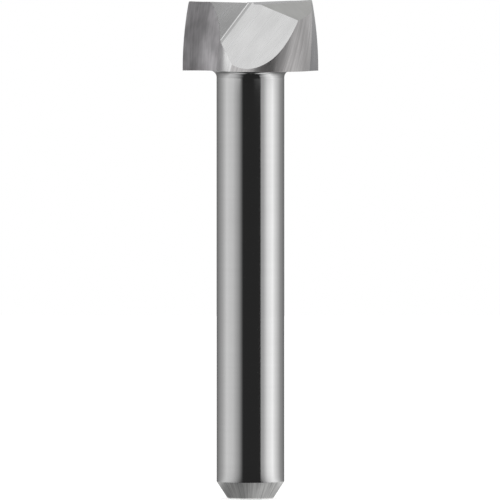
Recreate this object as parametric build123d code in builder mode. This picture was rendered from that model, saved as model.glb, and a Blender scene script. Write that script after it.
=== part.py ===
from build123d import *
from math import asin, cos, degrees, pi, radians, sin, tan
import os

# A two-flute solid carbide end mill with a wide, short cutting head on a plain shank.
# It stands on the end face of its shank: the origin is at the middle of that face,
# and the cutting end points along +Z. It cuts when it turns anticlockwise seen from
# above, so each tooth leads towards greater angles about +Z and its relief lies behind.

# Shank
overall_length = 44.1
shank_diameter = 6.0
end_chamfer_width = 1.0
end_chamfer_length = 1.52
neck_radius = 0.6

# Cutting head
teeth = 2
head_diameter = 12.0
head_height = 6.2
helix_angle = 23.5
corner_radius = 0.25

# Tooth section, square to the axis, with angles measured back from the cutting edge
land_angle = 15.0
body_radius = 5.43
body_angle = 56.0
body_blend_radius = 2.35
body_blend_turn = 37.0
heel_angle = 115.9
heel_radius = 4.02
back_wall_radius = 10.8
radial_rake = 3.0
rake_flat_length = 0.79
root_radius = 2.32
root_turn = 66.3

# End cutting edges and the relief behind them
end_edge_offset = 0.59
dish_angle = 1.8
end_relief_angle = 5.0
end_land_width = 0.5
end_clearance_angle = 20.9

# Gash that opens each end edge to the middle
gash_start = 0.23
gash_lead_angle = 6.9
gash_slope = 49.7
gash_opening = 132.8
gash_root_radius = 0.42

shank_radius = shank_diameter / 2
head_radius = head_diameter / 2
head_base = overall_length - head_height
grind_base = head_base - neck_radius
tooth_pitch = 360 / teeth
lead = pi * head_diameter / tan(radians(helix_angle))
edge_reach = (head_radius**2 - end_edge_offset**2) ** 0.5
cut_size = 2 * head_diameter


def turn_at(height):
    """Angle of the first tooth's edge at a height: it is 0 at the base of the head."""
    return 360 * (height - head_base) / lead


def polar(radius, angle, height=0.0):
    """Point at a radius and an angle about the axis."""
    return Vector(radius * cos(radians(angle)), radius * sin(radians(angle)), height)


def heading(angle, fall=0.0):
    """Unit vector that points out at an angle about the axis and falls by a second angle."""
    level = cos(radians(fall))
    return Vector(level * cos(radians(angle)), level * sin(radians(angle)), -sin(radians(fall)))


def draw_tooth(edge_angle):
    """One tooth's land, body and heel, and the flute up to the edge of the next tooth."""
    body_start = polar(body_radius, edge_angle - land_angle)
    body_end = polar(body_radius, edge_angle - body_angle)
    heel = polar(heel_radius, edge_angle - heel_angle)
    Line(polar(head_radius, edge_angle), body_start)
    body = RadiusArc(body_start, body_end, body_radius)
    blend = JernArc(body @ 1, body % 1, body_blend_radius, -body_blend_turn)
    TangentArc(blend @ 1, heel, tangent=blend % 1)
    inward = -heading(edge_angle - tooth_pitch + radial_rake)
    next_edge = polar(head_radius, edge_angle - tooth_pitch)
    rake = Line(next_edge, next_edge + inward * rake_flat_length)
    root = JernArc(rake @ 1, inward, root_radius, -root_turn)
    RadiusArc(root @ 1, heel, -back_wall_radius)


with BuildPart() as endmill:
    # Ground length: the tooth section swept up its helix, from the neck to the cutting end
    with BuildSketch(Plane.XY.offset(grind_base)):
        with BuildLine():
            for tooth in range(teeth):
                draw_tooth(turn_at(grind_base) - tooth * tooth_pitch)
        make_face()
    with BuildLine() as axis_line:
        Line((0, 0, grind_base), (0, 0, overall_length))
    with BuildLine() as helix:
        Helix(lead, overall_length - grind_base, head_radius, center=(0, 0, grind_base))
    sweep(path=axis_line.wires()[0], binormal=helix.wires()[0])

    # Turned outline of the head: round neck, flat underside and rounded cutting corners
    with BuildSketch(Plane.XZ) as head_outline:
        with BuildLine():
            Line((0, grind_base), (shank_radius, grind_base))
            CenterArc((shank_radius + neck_radius, grind_base), neck_radius, 90, 90)
            Polyline(
                (shank_radius + neck_radius, head_base),
                (head_radius, head_base),
                (head_radius, overall_length),
                (0, overall_length),
                (0, grind_base),
            )
        make_face()
        rim = head_outline.vertices().group_by(Axis.Y)[-1].sort_by(Axis.X)[-1]
        fillet(rim, corner_radius)
    revolve(axis=Axis.Z, mode=Mode.INTERSECT)

    # Shank with its end chamfer
    with BuildSketch(Plane.XZ):
        with BuildLine():
            Polyline(
                (0, 0),
                (shank_radius - end_chamfer_width, 0),
                (shank_radius, end_chamfer_length),
                (shank_radius, grind_base),
                (0, grind_base),
                close=True,
            )
        make_face()
    revolve(axis=Axis.Z)

    for tooth in range(teeth):
        # End edge: from the corner it runs past the axis at its offset and dips by the dish
        corner_angle = turn_at(overall_length) + tooth * tooth_pitch
        edge_angle = corner_angle - degrees(asin(end_edge_offset / head_radius))
        edge_height = overall_length - edge_reach * tan(radians(dish_angle))
        middle = polar(end_edge_offset, edge_angle + 90, edge_height)
        along_edge = heading(edge_angle, -dish_angle)
        gash_angle = edge_angle + gash_lead_angle

        # Narrow primary relief, from the corner to the middle
        square_to_edge = -heading(edge_angle, 90 - dish_angle)
        tilted_back = square_to_edge.rotate(Axis((0, 0, 0), along_edge), end_relief_angle)
        primary = Plane(middle, x_dir=along_edge, z_dir=tilted_back)
        with BuildSketch(primary):
            Rectangle(cut_size, 2 * cut_size, align=(Align.MIN, Align.CENTER))
        extrude(amount=cut_size, mode=Mode.SUBTRACT)

        # Wide secondary clearance behind it, square to the gash
        land_back = primary.from_local_coords((edge_reach, -end_land_width, 0))
        falling_back = heading(gash_angle - 90, end_clearance_angle - 90)
        with BuildSketch(Plane(land_back, x_dir=heading(gash_angle), z_dir=falling_back)):
            Rectangle(2 * cut_size, 2 * cut_size)
        extrude(amount=cut_size, mode=Mode.SUBTRACT)

        # Gash: a blunt vee with a round root, one wall of which holds the end edge
        gash_root = middle + along_edge * gash_start
        down_root = heading(gash_angle, gash_slope)
        up_wall = (along_edge - down_root * along_edge.dot(down_root)).normalized()
        with BuildSketch(Plane(gash_root, x_dir=up_wall, z_dir=-down_root)) as gash:
            with BuildLine():
                Polyline(
                    (0, 0),
                    (cut_size, 0),
                    heading(gash_opening / 2) * 2 * cut_size,
                    heading(gash_opening) * cut_size,
                    close=True,
                )
            make_face()
            fillet(gash.vertices().sort_by_distance(gash_root)[0], gash_root_radius)
        extrude(amount=cut_size, both=True, mode=Mode.SUBTRACT)

endmill.part.label = "endmill"

os.makedirs("parts", exist_ok=True)
export_step(endmill.part, "parts/endmill.step")
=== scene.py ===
"""Looks for a two-flute solid carbide end mill that stands on the end of its shank.

The tool is modelled at bench scale, one Blender unit to the millimetre, in the frame of the
solid: origin at the middle of the shank's end face, cutting end up. It is scaled to metres
once it is whole. Every ground face carries a UV map in millimetres, with U along the
grinding lines and V across them, and all the finishes read that map.
"""

import logging
import math
from contextlib import contextmanager
from dataclasses import dataclass, field
from enum import Enum
from typing import Callable, Iterable, Iterator, Sequence

import bpy
from bpy.types import Material, Node, NodeSocket, NodeTree, Object
from mathutils import Matrix, Vector


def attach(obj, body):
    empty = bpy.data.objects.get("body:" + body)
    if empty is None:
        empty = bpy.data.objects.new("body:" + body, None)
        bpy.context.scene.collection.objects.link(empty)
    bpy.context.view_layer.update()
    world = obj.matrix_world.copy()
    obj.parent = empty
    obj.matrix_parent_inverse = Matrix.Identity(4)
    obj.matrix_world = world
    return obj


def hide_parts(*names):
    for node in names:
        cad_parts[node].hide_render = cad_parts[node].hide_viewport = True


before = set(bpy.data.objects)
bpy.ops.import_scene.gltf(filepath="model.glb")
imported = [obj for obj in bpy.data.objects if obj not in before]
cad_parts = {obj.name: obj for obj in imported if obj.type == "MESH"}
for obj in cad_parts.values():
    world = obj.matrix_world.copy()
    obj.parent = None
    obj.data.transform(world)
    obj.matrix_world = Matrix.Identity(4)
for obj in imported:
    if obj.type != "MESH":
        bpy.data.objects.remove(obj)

LOG = logging.getLogger("endmill")
MM = 0.001
MICROMETRE = 1e-6
WHITE = (1.0, 1.0, 1.0, 1.0)
# Points closer than this are one point
TOUCHING = 1e-4
# The tool is seen from this angle about its axis, in degrees
FRONT = -90.0
# UV maps: along and across the grinding lines, and across a panel of the light tent
LAY = "lay"
ACROSS = "across"


# Small helpers

def to_linear(code: str) -> tuple[float, float, float, float]:
    """Turns an sRGB hex colour into a linear one.

    Args:
        code: Six hex digits with a leading hash.

    Returns:
        Linear red, green, blue and an alpha of 1.
    """
    parts = [int(code[i:i + 2], 16) / 255 for i in (1, 3, 5)]
    red, green, blue = (
        p / 12.92 if p <= 0.04045 else ((p + 0.055) / 1.055) ** 2.4 for p in parts)
    return red, green, blue, 1.0


def add_node(tree: NodeTree, kind: str, links: dict | None = None, **settings: object) -> Node:
    """Adds a node with its settings and the links into it.

    Args:
        tree: The node tree it goes into.
        kind: The node's type name.
        links: Input name or index, to an output socket or a plain value.
        settings: Attributes of the node.

    Returns:
        The new node.
    """
    node = tree.nodes.new(kind)
    for name, value in settings.items():
        setattr(node, name, value)
    for socket, source in (links or {}).items():
        if isinstance(source, NodeSocket):
            tree.links.new(source, node.inputs[socket])
        else:
            node.inputs[socket].default_value = source
    return node


def new_material(name: str) -> Material:
    """Makes a material with an empty node tree.

    Args:
        name: Its name.

    Returns:
        The new material.
    """
    material = bpy.data.materials.new(name)
    material.use_nodes = True
    material.node_tree.nodes.clear()
    return material


def polar(radius: float, angle: float, height: float = 0.0) -> Vector:
    """Point at a radius and an angle in degrees about the axis."""
    turn = math.radians(angle)
    return Vector((radius * math.cos(turn), radius * math.sin(turn), height))


def heading(angle: float, fall: float = 0.0) -> Vector:
    """Unit vector that points out at one angle and falls by another.

    Args:
        angle: Angle about the axis, in degrees.
        fall: Angle below the horizontal, in degrees.

    Returns:
        The vector.
    """
    level = math.cos(math.radians(fall))
    turn = math.radians(angle)
    return Vector((level * math.cos(turn), level * math.sin(turn), -math.sin(math.radians(fall))))


def bearing(point: Vector, start: float = 0.0) -> float:
    """Angle of a point about the axis, from a start angle on, from -180 to 180 degrees."""
    return (math.degrees(math.atan2(point.y, point.x)) - start + 180) % 360 - 180


def band_of(value: float, tops: Iterable[float]) -> int:
    """Index of the first of a row of bands whose top is above a value."""
    return [value < top for top in tops].index(True)


# Sizes

@dataclass(frozen=True)
class ToolSizes:
    """The tool's own sizes, in millimetres and degrees, the same as the solid's."""

    overall_length: float = 44.1
    shank_diameter: float = 6.0
    end_chamfer_width: float = 1.0
    end_chamfer_length: float = 1.52
    neck_radius: float = 0.6
    teeth: int = 2
    head_diameter: float = 12.0
    head_height: float = 6.2
    helix_angle: float = 23.5
    corner_radius: float = 0.25
    # Tooth section, square to the axis, with angles measured back from the cutting edge
    land_angle: float = 15.0
    body_radius: float = 5.43
    body_angle: float = 56.0
    body_blend_radius: float = 2.35
    body_blend_turn: float = 37.0
    heel_angle: float = 115.9
    heel_radius: float = 4.02
    back_wall_radius: float = 10.8
    radial_rake: float = 3.0
    rake_flat_length: float = 0.79
    root_radius: float = 2.32
    root_turn: float = 66.3
    # End cutting edge, the reliefs behind it, and the gash that opens it to the middle
    end_edge_offset: float = 0.59
    dish_angle: float = 1.8
    end_relief_angle: float = 5.0
    end_land_width: float = 0.5
    end_clearance_angle: float = 20.9
    gash_start: float = 0.23
    gash_lead_angle: float = 6.9
    gash_slope: float = 49.7
    gash_opening: float = 132.8
    gash_root_radius: float = 0.42

    @property
    def shank_radius(self) -> float:
        """Radius of the shank."""
        return self.shank_diameter / 2

    @property
    def head_radius(self) -> float:
        """Radius to the cutting edges."""
        return self.head_diameter / 2

    @property
    def head_base(self) -> float:
        """Height of the head's flat underside."""
        return self.overall_length - self.head_height

    @property
    def grind_base(self) -> float:
        """Height at which the neck starts to flare."""
        return self.head_base - self.neck_radius

    @property
    def pitch(self) -> float:
        """Angle from one tooth to the next."""
        return 360 / self.teeth

    @property
    def lead(self) -> float:
        """Rise of the helix in one whole turn."""
        return math.pi * self.head_diameter / math.tan(math.radians(self.helix_angle))

    def turn_at(self, height: float) -> float:
        """Angle of the first tooth's edge at a height."""
        return 360 * (height - self.head_base) / self.lead


# Finishes

# Noise mostly stays near its middle: from one limit to the other it takes a finish's full range
TONE_LIMITS = (0.32, 0.68)
GLOSS_LIMITS = (0.3, 0.7)
# No ground face is smoother than this roughness
SMOOTHEST = 0.02
# Moves the clouds away from the lines' own noise, so that neither repeats the other
CLOUD_SHIFT = (3.7, 1.9, 0.0)


@dataclass(frozen=True)
class GroundCarbide:
    """Fine-grain tungsten carbide, diamond ground and left as the wheel cut it.

    The wheel leaves parallel lines in a hard grey metal, so a face is darker or lighter line
    by line, its gloss runs out across the lines, and it clouds softly over a millimetre or two.

    Attributes:
        name: The material's name.
        dark: Colour in the lines' troughs.
        light: Colour on their crests.
        roughness: Mean roughness.
        spread: How much the roughness varies from line to line.
        line_width: Spacing of the visible lines, in millimetres.
        line_length: How far one line runs on, in millimetres.
        cloud: Size of the soft clouds, in millimetres.
        clouding: Share of the colour's range that the clouds take, against the lines.
        groove: Height of a line, in micrometres.
        stretch: How far the gloss is drawn out across the lines.
        hone: Radius to which the edges are honed, in millimetres; it makes them catch the light.
        slant: How far the clouds lean across the lines, in degrees.
    """

    name: str
    dark: str
    light: str
    roughness: float
    spread: float
    line_width: float
    line_length: float
    cloud: float
    clouding: float
    groove: float
    stretch: float
    hone: float = 0.03
    slant: float = 0.0

    def make(self) -> Material:
        """Builds the material.

        Returns:
            The new material.
        """
        material = new_material(self.name)
        tree = material.node_tree
        lay = add_node(tree, "ShaderNodeUVMap", uv_map=LAY)
        fine = add_node(tree, "ShaderNodeMapping", {
            "Vector": lay.outputs["UV"],
            "Scale": (1 / self.line_length, 1 / self.line_width, 1.0)})
        lines = add_node(tree, "ShaderNodeTexNoise", {
            "Vector": fine.outputs["Vector"], "Scale": 1.0, "Detail": 3.0, "Roughness": 0.6})
        turned = add_node(tree, "ShaderNodeMapping", {
            "Vector": lay.outputs["UV"], "Rotation": (0.0, 0.0, math.radians(self.slant))})
        # Clouds are twice as long as they are wide
        broad = add_node(tree, "ShaderNodeMapping", {
            "Vector": turned.outputs["Vector"], "Location": CLOUD_SHIFT,
            "Scale": (0.5 / self.cloud, 1 / self.cloud, 1.0)})
        clouds = add_node(tree, "ShaderNodeTexNoise", {
            "Vector": broad.outputs["Vector"], "Scale": 1.0, "Detail": 2.0, "Roughness": 0.5})
        blend = add_node(tree, "ShaderNodeMix", data_type="FLOAT", links={
            "Factor": self.clouding, "A": lines.outputs["Fac"], "B": clouds.outputs["Fac"]})
        tone = add_node(tree, "ShaderNodeMapRange", {
            "Value": blend.outputs["Result"],
            "From Min": TONE_LIMITS[0], "From Max": TONE_LIMITS[1]})
        colour = add_node(tree, "ShaderNodeMix", data_type="RGBA", links={
            "Factor": tone.outputs["Result"],
            "A": to_linear(self.dark), "B": to_linear(self.light)})
        gloss = add_node(tree, "ShaderNodeMapRange", {
            "Value": lines.outputs["Fac"],
            "From Min": GLOSS_LIMITS[0], "From Max": GLOSS_LIMITS[1],
            "To Min": self.roughness + self.spread,
            "To Max": max(self.roughness - self.spread, SMOOTHEST)})
        hone = add_node(tree, "ShaderNodeBevel", {"Radius": self.hone * MM}, samples=6)
        bump = add_node(tree, "ShaderNodeBump", {
            "Height": lines.outputs["Fac"], "Distance": self.groove * MICROMETRE,
            "Strength": 1.0, "Normal": hone.outputs["Normal"]})
        tangent = add_node(tree, "ShaderNodeTangent", direction_type="UV_MAP", uv_map=LAY)
        # A quarter turn of the anisotropy draws the gloss out across the lines
        shader = add_node(tree, "ShaderNodeBsdfPrincipled", {
            "Base Color": colour.outputs["Result"], "Metallic": 1.0,
            "Roughness": gloss.outputs["Result"],
            "Anisotropic": self.stretch, "Anisotropic Rotation": 0.25,
            "Normal": bump.outputs["Normal"], "Tangent": tangent.outputs["Tangent"]})
        add_node(tree, "ShaderNodeOutputMaterial", {"Surface": shader.outputs["BSDF"]})
        return material


class Surface(Enum):
    """The tool's surfaces, each with the finish that it was given.

    Real wheel marks lie under 0.05 mm apart and are too fine to show at this size, so every line
    is drawn coarser than the real one, from 0.14 mm apart. The numbers stand in the finish's own
    order: roughness, spread, line width, line length, cloud, clouding, groove, stretch. The base
    colours differ from face to face partly as the grinding leaves them and partly as painted light:
    each face's colour is set to the tone that face takes under the light.
    """

    # Shank, centreless ground and polished: a mirror with the faintest rings
    SHANK = GroundCarbide(
        "carbide_polished_shank", "#BFBFBF", "#C3C3C3", 0.09, 0.005, 0.3, 12.0, 2.5, 0.5, 0.01, 0.0)
    # Neck: polished with the shank; its darker colour is painted shade under the head
    NECK = GroundCarbide(
        "carbide_polished_neck_painted_shade", "#B5B5B5", "#BBBBBB", 0.11, 0.01, 0.2, 8.0, 2.0, 0.5, 0.02, 0.0)
    # Chamfer, cut by the face of a wheel: dull, with short lines down the slope; its pale colour is
    # painted light, brighter than the ground metal, standing in for light from the front
    CHAMFER = GroundCarbide(
        "carbide_chamfer_painted_light", "#B4B4B4", "#EEEEEC", 0.50, 0.06, 0.16, 3.0, 1.2, 0.3, 1.0, 0.3)
    # Shank end: satin rings of the parting wheel
    END_FACE = GroundCarbide(
        "carbide_ground_end", "#A0A0A2", "#B8B8BA", 0.35, 0.05, 0.15, 4.0, 1.2, 0.3, 0.4, 0.3)
    # Underside of the head: fine rings that run out into the neck
    UNDERSIDE = GroundCarbide(
        "carbide_ground_underside", "#9A9A9C", "#AAAAAC", 0.22, 0.04, 0.2, 4.0, 1.2, 0.3, 0.1, 0.2)
    # Rounded cutting corners: lapped, so they glint
    CORNER = GroundCarbide(
        "carbide_ground_corner", "#A8A8AA", "#BEBEC0", 0.22, 0.04, 0.2, 2.0, 1.0, 0.3, 0.2, 0.2)
    # Flutes, ground along the helix by a coarse wheel: matt, with soft slanting mottles
    FLUTE = GroundCarbide(
        "carbide_ground_flute", "#B1AFB1", "#DFDDDF", 0.72, 0.08, 0.20, 3.0, 1.2, 0.7, 0.5, 0.0,
        slant=18.0)
    # Back wall of the flute, where the wheel's side rubs: smooth, with long soft lines; its bright
    # colour is painted light, for the light that falls on this face
    BACK_WALL = GroundCarbide(
        "carbide_back_wall_painted_light", "#D8D8D8", "#F2F2F2", 0.20, 0.04, 0.3, 5.0, 1.4, 0.4, 0.2, 0.3)
    # Body relief: satin, with long lines that follow the helix
    BODY = GroundCarbide(
        "carbide_ground_body", "#9C9A9A", "#C4C2C2", 0.32, 0.06, 0.24, 7.0, 1.6, 0.35, 0.5, 0.2)
    # Land behind the cutting edge: finer and darker than the body
    LAND = GroundCarbide(
        "carbide_ground_land", "#7E7E80", "#929294", 0.28, 0.04, 0.2, 5.0, 1.5, 0.4, 0.3, 0.3)
    # Primary relief of the end edge: a narrow grey line under the edge
    PRIMARY = GroundCarbide(
        "carbide_ground_primary", "#AEAEB0", "#BABABC", 0.24, 0.04, 0.2, 3.0, 1.0, 0.4, 0.1, 0.3)
    # Wide clearance: an even satin grey without visible lines
    CLEARANCE = GroundCarbide(
        "carbide_ground_clearance", "#949492", "#9E9E9C", 0.30, 0.02, 0.3, 3.0, 1.5, 0.6, 0.1, 0.0)
    # Gash walls: pale, with fine straight lines down the slope of their root
    GASH = GroundCarbide(
        "carbide_ground_gash", "#CBCBCB", "#D9D9D9", 0.27, 0.01, 0.15, 30.0, 1.8, 0.75, 0.03, 0.3)
    # One part of the gash's round root: a bright line of painted highlight, standing in for the
    # root's reflection of the light
    GASH_LINE = GroundCarbide(
        "carbide_gash_root_painted_highlight", "#E6E6E6", "#F0F0F0", 0.16, 0.01, 0.14, 30.0, 2.5, 0.35,
        0.02, 0.2)
    # The rest of the round root: a grey band of painted shade beside that highlight
    GASH_ROOT = GroundCarbide(
        "carbide_gash_root_painted_shade", "#AAAAAA", "#B4B4B4", 0.26, 0.01, 0.14, 30.0, 2.5, 0.35,
        0.03, 0.2)


class Palette:
    """The finishes as Blender materials, made once each."""

    def __init__(self) -> None:
        """Makes every finish."""
        self.materials = {surface: surface.value.make() for surface in Surface}

    def slots_on(self, piece: Object, surfaces: Sequence[Surface]) -> None:
        """Gives a piece one material slot for each surface, in order.

        Args:
            piece: The piece.
            surfaces: The surfaces that it shows.
        """
        piece.data.materials.clear()
        for surface in surfaces:
            piece.data.materials.append(self.materials[surface])

    def surface_of(self, material: Material) -> Surface:
        """The surface that a material belongs to."""
        return next(s for s, m in self.materials.items() if m == material)


# Drawing and cutting

class Pen:
    """Draws an outline vertex by vertex with the extrude and spin tools."""

    def __init__(self, name: str, start: Vector, normal: Vector = Vector((0, 0, 1))) -> None:
        """Puts the first vertex down.

        Args:
            name: Name of the new object.
            start: Where the outline starts.
            normal: Axis about which arcs are spun.
        """
        bpy.ops.object.select_all(action="DESELECT")
        bpy.ops.mesh.primitive_plane_add(size=1, location=(0, 0, 0))
        self.piece = bpy.context.object
        self.piece.name = name
        self.normal = normal
        bpy.ops.object.mode_set(mode="EDIT")
        bpy.ops.mesh.select_all(action="SELECT")
        bpy.ops.mesh.merge(type="CENTER")
        bpy.ops.transform.translate(value=start)
        self.at = start.copy()

    def line(self, end: Vector, steps: int = 1) -> None:
        """Extrudes a straight run, in equal steps.

        Args:
            end: Where it ends.
            steps: Number of edges.
        """
        stride = (end - self.at) / steps
        for _ in range(steps):
            bpy.ops.mesh.extrude_vertices_move(TRANSFORM_OT_translate={"value": stride})
        self.at = end.copy()

    def arc(self, centre: Vector, angle: float, steps: int) -> None:
        """Spins an arc about a centre, anticlockwise for a positive angle in degrees."""
        bpy.ops.mesh.spin(steps=steps, angle=-math.radians(angle), center=centre, axis=self.normal)
        self.at = centre + Matrix.Rotation(math.radians(angle), 3, self.normal) @ (self.at - centre)

    def tangent_arc(self, end: Vector, direction: Vector, steps: int) -> None:
        """Spins an arc that leaves the last vertex in a given direction.

        Args:
            end: Where it ends.
            direction: Unit vector along which it starts.
            steps: Number of edges.
        """
        chord = end - self.at
        side = direction.cross(self.normal)
        radius = chord.length_squared / (2 * chord.dot(side))
        turn = 2 * math.degrees(math.atan2(chord.dot(side), chord.dot(direction)))
        self.arc(self.at + side * radius, -turn, steps)

    def arc_to(self, end: Vector, radius: float, steps: int) -> None:
        """Spins an arc of a given radius.

        Args:
            end: Where it ends.
            radius: Its radius, below zero for an arc that turns anticlockwise.
            steps: Number of edges.
        """
        chord = end - self.at
        side = chord.cross(self.normal).normalized() * math.copysign(1, radius)
        depth = math.sqrt(radius ** 2 - (chord.length / 2) ** 2)
        sweep = 2 * math.degrees(math.asin(chord.length / 2 / abs(radius)))
        self.arc(self.at + chord / 2 + side * depth, -math.copysign(sweep, radius), steps)

    def done(self, fill: bool = False) -> Object:
        """Closes the outline and leaves edit mode.

        Args:
            fill: Whether the closed outline gets a face.

        Returns:
            The drawn object.
        """
        bpy.ops.mesh.select_all(action="SELECT")
        bpy.ops.mesh.remove_doubles(threshold=TOUCHING)
        if fill:
            bpy.ops.mesh.edge_face_add()
        bpy.ops.object.mode_set(mode="OBJECT")
        return self.piece


def make_active(piece: Object) -> None:
    """Deselects everything, then selects one piece and makes it active.

    Args:
        piece: The piece.
    """
    bpy.ops.object.select_all(action="DESELECT")
    piece.select_set(True)
    bpy.context.view_layer.objects.active = piece


@contextmanager
def editing(piece: Object) -> Iterator[None]:
    """Edit mode on one piece, with all of it selected at first.

    Args:
        piece: The piece.

    Returns:
        A context that goes back to object mode at its end.
    """
    make_active(piece)
    bpy.ops.object.mode_set(mode="EDIT")
    bpy.ops.mesh.select_all(action="SELECT")
    yield
    bpy.ops.object.mode_set(mode="OBJECT")


class Cut(Enum):
    """What a cutter does to a piece."""

    TAKE_AWAY = "DIFFERENCE"
    KEEP_INSIDE = "INTERSECT"
    JOIN = "UNION"


def cut(piece: Object, tool: Object, operation: Cut) -> None:
    """Combines a piece with a cutter, keeps both their materials and throws the cutter away.

    Args:
        piece: The piece that stays.
        tool: The cutter.
        operation: What the cutter does.
    """
    make_active(piece)
    modifier = piece.modifiers.new("cut", "BOOLEAN")
    modifier.object = tool
    modifier.operation = operation.value
    modifier.solver = "EXACT"
    modifier.material_mode = "TRANSFER"
    bpy.ops.object.modifier_apply(modifier=modifier.name)
    bpy.data.objects.remove(tool)


def recalculate(piece: Object) -> None:
    """Turns all of a closed piece's faces outwards."""
    with editing(piece):
        bpy.ops.mesh.normals_make_consistent(inside=False)


def weld(piece: Object) -> None:
    """Merges the points of a piece that touch."""
    with editing(piece):
        bpy.ops.mesh.remove_doubles(threshold=TOUCHING)


def close_ends(piece: Object) -> None:
    """Caps the two open rings of a piece, each with one face.

    Args:
        piece: The piece, open at both ends.
    """
    with editing(piece):
        bpy.ops.mesh.select_all(action="DESELECT")
        bpy.ops.mesh.select_non_manifold(
            extend=False, use_wire=False, use_boundary=True, use_multi_face=False,
            use_non_contiguous=False, use_verts=False)
        bpy.ops.mesh.fill_holes(sides=0)


# The turned blank

@dataclass
class TurnedBlank:
    """The tool's outline as turned: shank, end chamfer, neck, underside and rounded corners.

    Attributes:
        sizes: The tool's sizes.
        palette: The finishes.
        segments: Facets around the axis.
        rows: Rows of facets up the chamfer, up the shank, round the neck, along the underside,
            up the head's side and round a cutting corner.
        guard: Height of the narrow rows that keep the shank's shading straight at its ends.
        spare: How far the head stands proud of the edges, so that the flutes' own ends show.
    """

    sizes: ToolSizes
    palette: Palette
    segments: int = 288
    rows: tuple[int, ...] = (4, 12, 14, 3, 6, 12)
    guard: float = 0.05
    spare: float = 0.004

    def build(self) -> Object:
        """Draws the half outline and spins it round.

        Returns:
            The closed blank.
        """
        s = self.sizes
        rim = s.shank_radius - s.end_chamfer_width
        reach = s.head_radius + self.spare
        corner_base = s.overall_length - s.corner_radius
        chamfer, shank, neck, underside, side, corner = self.rows
        pen = Pen("blank", Vector((rim, 0, 0)), Vector((0, 1, 0)))
        pen.line(Vector((s.shank_radius, 0, s.end_chamfer_length)), chamfer)
        pen.line(Vector((s.shank_radius, 0, s.end_chamfer_length + self.guard)))
        pen.line(Vector((s.shank_radius, 0, s.grind_base - self.guard)), shank)
        pen.line(Vector((s.shank_radius, 0, s.grind_base)))
        pen.arc(Vector((s.shank_radius + s.neck_radius, 0, s.grind_base)), 90, neck)
        pen.line(Vector((reach, 0, s.head_base)), underside)
        pen.line(Vector((reach, 0, corner_base)), side)
        pen.arc(Vector((reach - s.corner_radius, 0, corner_base)), -90, corner)
        piece = pen.done()
        with editing(piece):
            bpy.ops.mesh.spin(
                steps=self.segments, angle=2 * math.pi, center=(0, 0, 0), axis=(0, 0, 1))
        weld(piece)
        close_ends(piece)
        recalculate(piece)
        self.name_surfaces(piece)
        return piece

    def name_surfaces(self, piece: Object) -> None:
        """Gives each band of the blank the finish of its surface.

        Args:
            piece: The closed blank.
        """
        s = self.sizes
        tops = {Surface.END_FACE: TOUCHING, Surface.CHAMFER: s.end_chamfer_length,
                Surface.SHANK: s.grind_base, Surface.NECK: s.head_base - TOUCHING,
                Surface.UNDERSIDE: s.head_base + TOUCHING, Surface.CORNER: math.inf}
        self.palette.slots_on(piece, list(tops))
        for face in piece.data.polygons:
            face.material_index = band_of(face.center.z, tops.values())


# The cutting head

@dataclass(frozen=True)
class EndEdge:
    """Where one tooth's end cutting edge lies, at bench scale.

    Attributes:
        angle: Its angle about the axis, in degrees.
        reach: Its length from the middle to the corner.
        along: Unit vector out along it.
        middle: Its inner end, abreast of the axis.
        gash: Angle of its gash about the axis, in degrees.
    """

    angle: float
    reach: float
    along: Vector
    middle: Vector
    gash: float


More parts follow.
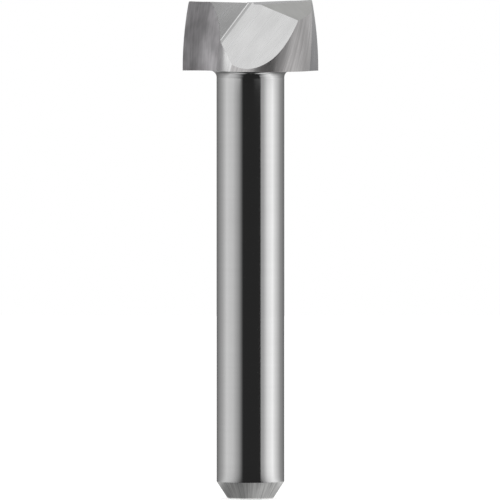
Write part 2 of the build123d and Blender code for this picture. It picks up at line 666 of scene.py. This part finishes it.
@dataclass
class CuttingHead:
    """The two teeth: their helical flutes, reliefs, end edges and gashes.

    Attributes:
        sizes: The tool's sizes.
        palette: The finishes.
        rise_steps: Steps of the sweep up the helix.
        spare: How far the sweep runs on past the tool at its top and below the neck.
        kept: Height that the flutes leave alone under the neck's flare.
        steps: Edges along land, body, body blend, heel, back wall, root and rake flat.
        gash_steps: Edges round a gash's root.
        painted_highlight_share: Share of a gash's root, from the end edge's wall, that gets a
            painted highlight; the rest gets painted shade.
    """

    sizes: ToolSizes
    palette: Palette
    rise_steps: int = 72
    spare: float = 0.5
    kept: float = 0.02
    steps: tuple[int, ...] = (3, 20, 18, 20, 16, 26, 4)
    gash_steps: int = 16
    painted_highlight_share: float = 0.55

    def draw_section(self) -> Object:
        """Draws both teeth square to the axis.

        Returns:
            The closed outline, at the height where the sweep starts.
        """
        s = self.sizes
        base = s.grind_base - self.spare
        lift = Vector((0, 0, base))
        start = s.turn_at(base)
        land, body, blend, heel, wall, root, rake = self.steps
        pen = Pen("section", polar(s.head_radius, start, base))
        for tooth in range(s.teeth):
            edge = start - tooth * s.pitch
            land_end = polar(s.body_radius, edge - s.land_angle, base)
            blend_centre = polar(s.body_radius - s.body_blend_radius, edge - s.body_angle, base)
            heel_end = polar(s.heel_radius, edge - s.heel_angle, base)
            root_centre, root_end = self.root_arc(edge - s.pitch, base)
            pen.line(land_end, land)
            pen.arc(lift, s.land_angle - s.body_angle, body)
            pen.arc(blend_centre, -s.body_blend_turn, blend)
            down_heel = heading(edge - s.body_angle - 90 - s.body_blend_turn)
            pen.tangent_arc(heel_end, down_heel, heel)
            pen.arc_to(root_end, s.back_wall_radius, wall)
            pen.arc(root_centre, s.root_turn, root)
            pen.line(polar(s.head_radius, edge - s.pitch, base), rake)
        return pen.done()

    def root_arc(self, edge: float, height: float = 0.0) -> tuple[Vector, Vector]:
        """The round root of the flute in front of an edge.

        Args:
            edge: The edge's angle about the axis, in degrees.
            height: Its height.

        Returns:
            The arc's centre, and its end that lies away from the edge.
        """
        s = self.sizes
        inward = -heading(edge + s.radial_rake)
        rake_end = polar(s.head_radius, edge, height) + inward * s.rake_flat_length
        centre = rake_end + Vector((inward.y, -inward.x, 0)) * s.root_radius
        turned = Matrix.Rotation(-math.radians(s.root_turn), 3, "Z")
        return centre, centre + turned @ (rake_end - centre)

    def sweep(self) -> Object:
        """Sweeps the section up its helix and closes both ends.

        Returns:
            The swept head, longer than the tool at both ends.
        """
        s = self.sizes
        piece = self.draw_section()
        rise = s.overall_length - s.grind_base + 2 * self.spare
        make_active(piece)
        screw = piece.modifiers.new("helix", "SCREW")
        screw.axis = "Z"
        screw.screw_offset = rise
        screw.angle = math.radians(360 * rise / s.lead)
        screw.steps = self.rise_steps
        screw.render_steps = self.rise_steps
        bpy.ops.object.modifier_apply(modifier=screw.name)
        close_ends(piece)
        recalculate(piece)
        self.name_surfaces(piece)
        return piece

    def name_surfaces(self, piece: Object) -> None:
        """Gives the swept faces the finish of land, body, back wall or flute.

        Args:
            piece: The swept head.
        """
        s = self.sizes
        tops = {Surface.LAND: s.land_angle, Surface.BODY: s.heel_angle,
                Surface.BACK_WALL: s.pitch - bearing(self.root_arc(0.0)[1]),
                Surface.FLUTE: math.inf}
        self.palette.slots_on(piece, list(tops))
        for face in piece.data.polygons:
            behind_edge = (s.turn_at(face.center.z) - bearing(face.center)) % s.pitch
            face.material_index = band_of(behind_edge, tops.values())
            # The rake face hangs back under the land, but it looks ahead and not out
            outward = face.normal.dot(face.center.xy.to_3d().normalized())
            if behind_edge < s.land_angle and outward <= 0.5:
                face.material_index = len(tops) - 1

    def block(self, low: Vector, high: Vector, surface: Surface) -> Object:
        """Makes a plain block to cut or join with.

        Args:
            low: Its lowest corner.
            high: Its highest corner.
            surface: The surface that it leaves.

        Returns:
            The block.
        """
        bpy.ops.object.select_all(action="DESELECT")
        bpy.ops.mesh.primitive_cube_add(size=1, location=(low + high) / 2, scale=high - low)
        block = bpy.context.object
        bpy.ops.object.transform_apply(location=True, rotation=False, scale=True)
        self.palette.slots_on(block, [surface])
        return block

    def end_edge(self, tooth: int) -> EndEdge:
        """Works out where a tooth's end edge lies.

        Args:
            tooth: 0 or 1.

        Returns:
            The end edge.
        """
        s = self.sizes
        corner = s.turn_at(s.overall_length) + tooth * s.pitch
        angle = corner - math.degrees(math.asin(s.end_edge_offset / s.head_radius))
        reach = math.sqrt(s.head_radius ** 2 - s.end_edge_offset ** 2)
        height = s.overall_length - reach * math.tan(math.radians(s.dish_angle))
        return EndEdge(
            angle=angle, reach=reach, along=heading(angle, -s.dish_angle),
            middle=polar(s.end_edge_offset, angle + 90, height), gash=angle + s.gash_lead_angle)

    def place(self, piece: Object, origin: Vector, x_dir: Vector, z_dir: Vector) -> None:
        """Moves a cutter that was drawn on the ground plane to a plane of its own.

        Args:
            piece: The cutter.
            origin: The plane's origin.
            x_dir: Direction of the plane's X axis.
            z_dir: Direction square to the plane.
        """
        x_axis, z_axis = x_dir.normalized(), z_dir.normalized()
        y_axis = z_axis.cross(x_axis)
        turn = Matrix((x_axis, y_axis, z_axis)).transposed().to_4x4()
        piece.data.transform(Matrix.Translation(origin) @ turn)

    def relief_cutters(self, tooth: int) -> list[Object]:
        """Makes the cutters for the reliefs behind one end edge.

        Args:
            tooth: 0 or 1.

        Returns:
            The cutter of the narrow primary relief and that of the wide clearance.
        """
        s = self.sizes
        edge = self.end_edge(tooth)
        size = 2 * s.head_diameter
        square = -heading(edge.angle, 90 - s.dish_angle)
        tilted = Matrix.Rotation(math.radians(s.end_relief_angle), 3, edge.along) @ square
        primary = self.block(
            Vector((0, -size, 0)), Vector((size, size, size / 2)), Surface.PRIMARY)
        self.place(primary, edge.middle, edge.along, tilted)
        across = tilted.cross(edge.along)
        land_back = edge.middle + edge.along * edge.reach - across * s.end_land_width
        falling_back = heading(edge.gash - 90, s.end_clearance_angle - 90)
        clearance = self.block(
            Vector((-size, -size, 0)), Vector((0, size, size / 2)), Surface.CLEARANCE)
        self.place(clearance, land_back, heading(edge.gash), falling_back)
        return [primary, clearance]

    def gash_cutter(self, tooth: int) -> Object:
        """Makes the blunt vee with a round root that opens one end edge to the middle.

        Args:
            tooth: 0 or 1.

        Returns:
            The cutter.
        """
        s = self.sizes
        edge = self.end_edge(tooth)
        size = 2 * s.head_diameter
        setback = s.gash_root_radius / math.tan(math.radians(s.gash_opening / 2))
        sunk = Vector((0, 0, -size))
        pen = Pen("gash", Vector((size, 0, -size)))
        pen.line(Vector((setback, 0, -size)))
        pen.arc(Vector((setback, s.gash_root_radius, -size)), s.gash_opening - 180, self.gash_steps)
        pen.line(heading(s.gash_opening) * size + sunk)
        pen.line(heading(s.gash_opening / 2) * 2 * size + sunk)
        pen.line(Vector((size, 0, -size)))
        piece = pen.done(fill=True)
        with editing(piece):
            bpy.ops.mesh.extrude_region_move(TRANSFORM_OT_translate={"value": (0, 0, 2 * size)})
        self.palette.slots_on(piece, [Surface.GASH, Surface.GASH_LINE, Surface.GASH_ROOT])
        # The root's faces stand upright and lie nearer the vee's point than its walls do
        for face in piece.data.polygons:
            if abs(face.normal.z) < 0.5 and face.center.xy.length < setback:
                # Painted highlight on the share of the root beside the end edge's wall, painted
                # shade on the rest
                face.material_index = 1 if face.center.x > setback * (1 - self.painted_highlight_share) else 2
        down = heading(edge.gash, s.gash_slope)
        up_wall = (edge.along - down * edge.along.dot(down)).normalized()
        self.place(piece, edge.middle + edge.along * s.gash_start, up_wall, -down)
        return piece

    def grind(self, blank: Object) -> None:
        """Cuts the flutes, reliefs and gashes into the blank.

        Args:
            blank: The turned blank.
        """
        # The sweep is joined to a block wider than the shank, so that the shank stays round
        top = self.sizes.grind_base - self.kept
        below = self.block(Vector((-10, -10, -2)), Vector((10, 10, top)), Surface.SHANK)
        envelope = self.sweep()
        cut(envelope, below, Cut.JOIN)
        cut(blank, envelope, Cut.KEEP_INSIDE)
        for tooth in range(self.sizes.teeth):
            for cutter in self.relief_cutters(tooth) + [self.gash_cutter(tooth)]:
                recalculate(cutter)
                cut(blank, cutter, Cut.TAKE_AWAY)


# The lay of the grinding lines

@dataclass
class Lay:
    """Maps every surface with U along its grinding lines and V across them, in millimetres.

    Each rule takes a point and its tooth, 0 or 1, and gives the point's U and V.

    Attributes:
        head: The cutting head, for its sizes and end edges.
        shift: How far one tooth's lines are moved on from the other's, so that they differ.
        hollowness: How much longer a flute's round wall is than its span from the axis.
    """

    head: CuttingHead
    shift: float = 20.0
    hollowness: float = 1.3

    def helical(self, p: Vector, tooth: int) -> tuple[float, float]:
        """Lines that follow the helix, for the land and the body.

        Args:
            p: The point.
            tooth: Its tooth.

        Returns:
            Its U and V.
        """
        s = self.head.sizes
        back = (s.turn_at(p.z) + tooth * s.pitch - bearing(p) + 90) % 360 - 90
        rise = p.z / math.cos(math.radians(s.helix_angle))
        return rise, math.radians(back) * s.body_radius + self.shift * tooth

    def hollow(self, p: Vector, tooth: int) -> tuple[float, float]:
        """Lines that follow the helix in a flute, spaced by the distance from the axis."""
        rise = p.z / math.cos(math.radians(self.head.sizes.helix_angle))
        return rise, math.hypot(p.x, p.y) * self.hollowness + self.shift * tooth

    def rings(self, p: Vector, tooth: int) -> tuple[float, float]:
        """Rings about the axis, for all that was turned."""
        return math.atan2(p.y, p.x) * self.head.sizes.shank_radius, math.hypot(p.x, p.y) + p.z

    def down_slope(self, p: Vector, tooth: int) -> tuple[float, float]:
        """Lines straight down the end chamfer."""
        return p.z, math.atan2(p.y, p.x) * self.head.sizes.shank_radius

    def in_gash(self, p: Vector, tooth: int) -> tuple[float, float]:
        """Lines down the root of a gash, on both its walls.

        Args:
            p: The point.
            tooth: Its tooth.

        Returns:
            Its U and V.
        """
        angle = self.head.end_edge(tooth).gash
        down = heading(angle, self.head.sizes.gash_slope)
        side = heading(angle + 90)
        return p.dot(down), p.dot(side.cross(down)) + p.dot(side) + self.shift * tooth

    def on_relief(self, p: Vector, tooth: int) -> tuple[float, float]:
        """Lines straight back from an end edge."""
        angle = self.head.end_edge(tooth).gash
        return p.dot(heading(angle - 90)), p.dot(heading(angle)) + self.shift * tooth

    def rule_for(self, surface: Surface) -> Callable[[Vector, int], tuple[float, float]]:
        """Picks the rule by which a surface is mapped.

        Args:
            surface: The surface.

        Returns:
            The rule, one of this class's methods.
        """
        if surface in (Surface.LAND, Surface.BODY):
            return self.helical
        if surface in (Surface.FLUTE, Surface.BACK_WALL):
            return self.hollow
        if surface in (Surface.PRIMARY, Surface.CLEARANCE):
            return self.on_relief
        if surface in (Surface.GASH, Surface.GASH_LINE, Surface.GASH_ROOT):
            return self.in_gash
        return self.down_slope if surface is Surface.CHAMFER else self.rings

    def write(self, piece: Object, palette: Palette) -> None:
        """Writes the UV map, and keeps a face that spans the seam at the back in one run.

        Args:
            piece: The piece, at bench scale.
            palette: The finishes, which tell its surfaces apart.
        """
        mesh = piece.data
        layer = mesh.uv_layers.new(name=LAY)
        rules = [self.rule_for(palette.surface_of(material)) for material in mesh.materials]
        first_gash = heading(self.head.end_edge(0).gash)
        lap = 2 * math.pi * self.head.sizes.shank_radius
        for face in mesh.polygons:
            rule = rules[face.material_index]
            tooth = 0 if face.center.dot(first_gash) > 0 else 1
            corners = [mesh.vertices[i].co for i in face.vertices]
            uvs = [list(rule(corner, tooth)) for corner in corners]
            if rule in (self.down_slope, self.rings):
                around = 1 if rule == self.down_slope else 0
                low = min(uv[around] for uv in uvs)
                for uv in uvs:
                    if uv[around] - low > lap / 2:
                        uv[around] -= lap
            for i, uv in zip(face.loop_indices, uvs):
                layer.data[i].uv = uv


# The whole tool

@dataclass
class EndMill:
    """The whole tool as one piece.

    Attributes:
        sizes: The tool's sizes.
        palette: The finishes.
        crease: Angle above which an edge is sharp, in degrees.
    """

    sizes: ToolSizes = field(default_factory=ToolSizes)
    palette: Palette = field(default_factory=Palette)
    crease: float = 9.0

    def build(self) -> Object:
        """Turns the blank, grinds it and brings it to size.

        Returns:
            The finished piece, in metres.
        """
        head = CuttingHead(self.sizes, self.palette)
        piece = TurnedBlank(self.sizes, self.palette).build()
        head.grind(piece)
        weld(piece)
        piece.name = "endmill_tool"
        Lay(head).write(piece, self.palette)
        piece.data.transform(Matrix.Scale(MM, 4))
        make_active(piece)
        bpy.ops.object.shade_smooth_by_angle(angle=math.radians(self.crease))
        return piece


# Studio

@dataclass(frozen=True)
class GlowingCloth:
    """Softbox cloth lit from behind: an even white glow that grows to one side.

    Attributes:
        first: Strength at its first side.
        last: Strength at its other side.
    """

    first: float
    last: float

    def make(self, name: str) -> Material:
        """Builds the material.

        Args:
            name: Its name.

        Returns:
            The new material.
        """
        material = new_material(name)
        tree = material.node_tree
        across = add_node(tree, "ShaderNodeUVMap", uv_map=ACROSS)
        split = add_node(tree, "ShaderNodeSeparateXYZ", {"Vector": across.outputs["UV"]})
        level = add_node(tree, "ShaderNodeMapRange", {
            "Value": split.outputs["X"], "To Min": self.first, "To Max": self.last})
        glow = add_node(tree, "ShaderNodeEmission", {
            "Color": WHITE, "Strength": level.outputs["Result"]})
        add_node(tree, "ShaderNodeOutputMaterial", {"Surface": glow.outputs[0]})
        return material


# The light tent's strips: bearing to the right of the camera, in degrees, and strength there.
# Two at one bearing make a hard edge.

# What the shank mirrors: a black strip in front with a soft left side and a hard right one
SHANK_STOPS = (
    (-180, 0.25), (-150, 0.22), (-123, 0.46), (-107, 0.64), (-85, 1.05), (-60, 0.92),
    (-38, 0.48), (-24, 0.035), (35, 0.035), (35, 0.50), (45, 0.66), (60, 1.28), (80, 1.60),
    (92, 1.17), (120, 0.51), (148, 0.24), (180, 0.22))

# What the cutting head mirrors, higher up: softer, with only a narrow black strip
HEAD_STOPS = (
    (-180, 0.50), (-125, 0.30), (-108, 0.90), (-60, 1.20), (-34, 1.20), (-26, 0.02), (10, 0.02),
    (18, 0.22), (33, 0.44), (60, 0.48), (105, 0.74), (130, 0.86), (180, 0.50))

# What the end chamfer mirrors, close to the foot: brighter to the right
FOOT_STOPS = (
    (-180, 0.30), (-60, 0.24), (-15, 0.28), (20, 0.55), (100, 0.58), (180, 0.30))

# Above the head's own strip: bright in front, softer all round
HOOD_STOPS = (
    (-180, 0.80), (-40, 0.80), (-20, 1.05), (45, 1.05), (45, 0.80), (180, 0.80))


@dataclass(frozen=True)
class Ring:
    """A row of panels side by side, seen only in reflections.

    Attributes:
        name: Its name.
        inner: Radius and height of its lower or inner rim, in metres.
        outer: Radius and height of its upper or outer rim, in metres.
        dimming: Share of the strength that all its panels keep.
        stops: Bearing and strength of each side of its panels.
        spread: How much further apart the bearings lie in front, as a share, at either rim.
        facet: Width of one facet of a panel, in degrees.
    """

    name: str
    inner: tuple[float, float]
    outer: tuple[float, float]
    dimming: float
    stops: Sequence[tuple[float, float]]
    spread: tuple[float, float] = (0.0, 0.0)
    facet: float = 4.0

    def build(self) -> None:
        """Builds a panel from each stop to the next and hides it from all but reflections."""
        pairs = [(a, b) for a, b in zip(self.stops, self.stops[1:]) if a[0] < b[0]]
        for index, ((start, first), (end, last)) in enumerate(pairs):
            name = f"{self.name}_{index}"
            strip = self.draw(name, FRONT + start, end - start)
            if any(self.spread):
                self.widen(strip)
            cloth = GlowingCloth(first * self.dimming, last * self.dimming)
            strip.data.materials.append(cloth.make(name))
            strip.visible_camera = False
            strip.visible_diffuse = False
            strip.visible_shadow = False

    def draw(self, name: str, first: float, width: float) -> Object:
        """Spins one panel about the axis and maps it from its first side to its other.

        Args:
            name: Its name.
            first: Angle of its first side about the axis, in degrees.
            width: Its width, in degrees.

        Returns:
            The panel.
        """
        pen = Pen(name, polar(self.inner[0], first, self.inner[1]))
        pen.line(polar(self.outer[0], first, self.outer[1]))
        bpy.ops.mesh.select_all(action="SELECT")
        pen.arc(Vector((0, 0, 0)), width, max(2, round(width / self.facet)))
        strip = pen.done()
        layer = strip.data.uv_layers.new(name=ACROSS)
        for loop in strip.data.loops:
            corner = strip.data.vertices[loop.vertex_index].co
            layer.data[loop.index].uv = (bearing(corner, first) / width, 0.0)
        return strip

    def widen(self, strip: Object) -> None:
        """Spreads a panel's bearings, most of all straight in front.

        Args:
            strip: The panel.
        """
        middle = (self.inner[0] + self.outer[0]) / 2
        for vertex in strip.data.vertices:
            radius = vertex.co.xy.length
            spread = self.spread[1] if radius > middle else self.spread[0]
            aside = bearing(vertex.co, FRONT)
            wider = 1 + spread * (1 - abs(aside) / 180) ** 2
            vertex.co = polar(radius, FRONT + aside * wider, vertex.co.z)


def seen_rays(tree: NodeTree) -> NodeSocket:
    """Picks the rays that see a surface: those of the camera, reflections and glass.

    Args:
        tree: Node tree that receives the nodes.

    Returns:
        A socket that is 1 for those rays and 0 for the ones that only carry light.
    """
    path = add_node(tree, "ShaderNodeLightPath")
    open_rays = add_node(tree, "ShaderNodeMath", operation="MAXIMUM", links={
        0: path.outputs["Is Camera Ray"], 1: path.outputs["Is Glossy Ray"]})
    all_rays = add_node(tree, "ShaderNodeMath", operation="MAXIMUM", links={
        0: open_rays.outputs[0], 1: path.outputs["Is Transmission Ray"]})
    return all_rays.outputs[0]


@dataclass(frozen=True)
class PaleCard:
    """Uncoated card, almost white: no gloss, and a grain that only just shows.

    Attributes:
        dark: Colour in the pits of its grain.
        light: Colour of its fibres.
        grain: Grains to the metre.
        lift: Glow added where it is seen, which brings it to white and keeps the shadow.
    """

    dark: str = "#DCDCDC"
    light: str = "#E0E0E0"
    grain: float = 900.0
    lift: float = 0.6

    def make(self) -> Material:
        """Builds the material.

        Returns:
            The new material.
        """
        material = new_material("pale_card")
        tree = material.node_tree
        place = add_node(tree, "ShaderNodeTexCoord")
        grain = add_node(tree, "ShaderNodeTexNoise", {
            "Vector": place.outputs["Object"], "Scale": self.grain, "Detail": 2.0})
        tint = add_node(tree, "ShaderNodeMix", data_type="RGBA", links={
            "Factor": grain.outputs["Fac"],
            "A": to_linear(self.dark), "B": to_linear(self.light)})
        card = add_node(tree, "ShaderNodeBsdfDiffuse", {"Color": tint.outputs["Result"]})
        lift = add_node(tree, "ShaderNodeEmission", {"Color": WHITE, "Strength": self.lift})
        both = add_node(tree, "ShaderNodeAddShader", {0: card.outputs[0], 1: lift.outputs[0]})
        pick = add_node(tree, "ShaderNodeMixShader", {
            0: seen_rays(tree), 1: card.outputs[0], 2: both.outputs[0]})
        add_node(tree, "ShaderNodeOutputMaterial", {"Surface": pick.outputs[0]})
        return material


@dataclass
class Studio:
    """A round light tent with soft panels and dark strips, a pale floor and a long lens.

    Attributes:
        centre: Height of the middle of the view, in metres.
        width: Width of the view, in metres.
        distance: From the camera to the tool, in metres.
        elevation: How far the camera looks down, in degrees.
        azimuth: How far the camera stands round from straight in front, in degrees.
        aside: How far the view's middle lies beside the tool's axis, in metres.
        clip: Nearest and furthest that the camera sees, in metres.
        surround: Strength of the surround as light.
        floor_radius: Radius of the floor, in metres.
        rings: The tent's rows of panels, seen only in reflections.
    """

    centre: float = 0.02201
    width: float = 0.04425
    distance: float = 2.0
    elevation: float = 2.15
    azimuth: float = 0.9
    aside: float = -0.00004
    clip: tuple[float, float] = (0.1, 50.0)
    surround: float = 0.8
    floor_radius: float = 0.4
    # Cards on the floor from the foot outwards, then the tent's wall from the floor up
    rings: Sequence[Ring] = (
        Ring("cards_at_foot", (0.00205, 0.0001), (0.0042, 0.0001), 1.0, FOOT_STOPS),
        Ring("cards_below_neck", (0.0042, 0.0001), (0.028, 0.0001), 0.9, SHANK_STOPS, (0.8, 0.8)),
        Ring("cards_between", (0.028, 0.0001), (0.040, 0.0001), 0.95, SHANK_STOPS, (0.8, 0.0)),
        Ring("cards_on_floor", (0.040, 0.0001), (0.060, 0.0001), 1.0, SHANK_STOPS),
        Ring("lower_tent", (0.060, 0.0001), (0.060, 0.0360), 1.0, SHANK_STOPS),
        Ring("upper_tent", (0.060, 0.0360), (0.060, 0.063), 1.0, HEAD_STOPS),
        Ring("hood", (0.060, 0.063), (0.060, 0.080), 1.0, HOOD_STOPS),
    )

    def build(self) -> None:
        """Sets up world, floor, tent and camera."""
        self.make_world()
        self.make_floor()
        for ring in self.rings:
            ring.build()
        self.make_camera()

    def make_world(self) -> None:
        """A surround that is white where it is seen and a little dimmer as light."""
        world = bpy.data.worlds.new("white_surround")
        bpy.context.scene.world = world
        world.use_nodes = True
        tree = world.node_tree
        tree.nodes.clear()
        strength = add_node(tree, "ShaderNodeMapRange", {
            "Value": seen_rays(tree), "To Min": self.surround, "To Max": 1.0})
        glow = add_node(tree, "ShaderNodeBackground", {
            "Color": WHITE, "Strength": strength.outputs["Result"]})
        add_node(tree, "ShaderNodeOutputWorld", {"Surface": glow.outputs[0]})

    def make_floor(self) -> None:
        """A round sheet of pale card."""
        bpy.ops.object.select_all(action="DESELECT")
        bpy.ops.mesh.primitive_circle_add(
            vertices=96, radius=self.floor_radius, fill_type="NGON", location=(0, 0, 0))
        floor = bpy.context.object
        floor.name = "floor"
        floor.data.materials.append(PaleCard().make())

    def make_camera(self) -> None:
        """A very long lens, so that the view is nearly square on."""
        data = bpy.data.cameras.new("camera")
        camera = bpy.data.objects.new("camera", data)
        bpy.context.scene.collection.objects.link(camera)
        data.lens = data.sensor_width * self.distance / self.width
        data.clip_start, data.clip_end = self.clip
        out = -heading(self.azimuth - FRONT, self.elevation)
        target = Vector((self.aside, 0, self.centre))
        camera.location = target + out * self.distance
        camera.rotation_euler = (target - camera.location).to_track_quat("-Z", "Y").to_euler()
        bpy.context.scene.camera = camera


def main() -> None:
    logging.basicConfig(level=logging.INFO, format="%(name)s: %(message)s")
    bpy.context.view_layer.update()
    tool = EndMill().build()
    LOG.info("%s: %d faces", tool.name, len(tool.data.polygons))
    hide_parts("endmill")
    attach(tool, "root")
    Studio().build()
    LOG.info("studio ready")
    bpy.context.scene.view_settings.view_transform = "Standard"


if __name__ == "__main__":
    main()
